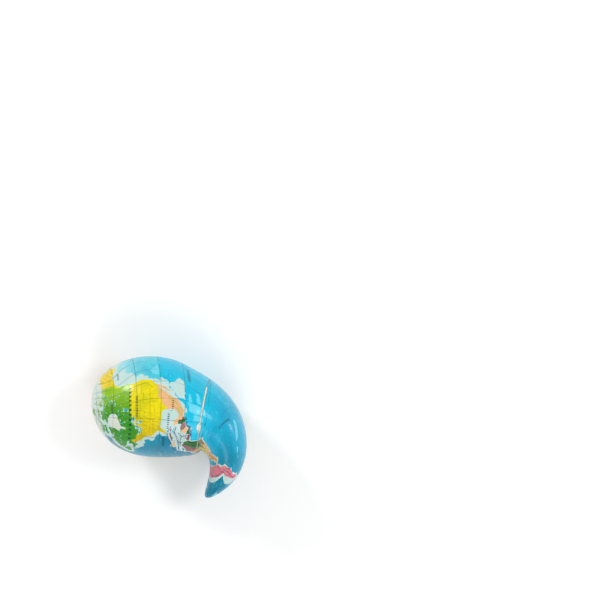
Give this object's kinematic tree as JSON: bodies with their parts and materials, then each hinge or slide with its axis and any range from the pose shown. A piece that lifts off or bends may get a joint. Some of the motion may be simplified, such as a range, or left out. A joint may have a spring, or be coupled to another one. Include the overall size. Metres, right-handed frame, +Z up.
{
  "type": "stress ball",
  "caption": "Printed foam stress ball in its hand-squeezed shape: a bulging lobe with finger grooves and a folded tail that springs open.",
  "frame": {"origin": "centre of the small flat that the ball rests on, under the bulging lobe", "axes": "+Z up from the flat; the bulging lobe points to -X, and the folded tail is at +X and turns to -Y"},
  "size_m": [0.0698, 0.0636, 0.0469],
  "materials": {
    "foam": "open-cell foam, matt",
    "skin": "dense moulded skin, satin",
    "flash": "bare moulded skin, satin",
    "north_print": "printed ink film, semi-gloss",
    "south_print": "printed ink film, semi-gloss"
  },
  "bodies": {
    "bulge": {"foam_core": "foam", "moulded_skin": "skin", "parting_flash": "flash", "gate_plug": "flash", "north_film": "north_print"},
    "tail": {"south_film": "south_print"}
  },
  "joints": [
    {"name": "squeeze_fold", "type": "hinge", "parent": "bulge", "child": "tail", "pos_m": [0.0188, 0.0139, 0.023], "axis": [0, 0, 1], "range_deg": [0, 35], "stiffness_Nm_per_rad": 0.15, "deforming": ["foam_core", "moulded_skin", "parting_flash"]}
  ]
}
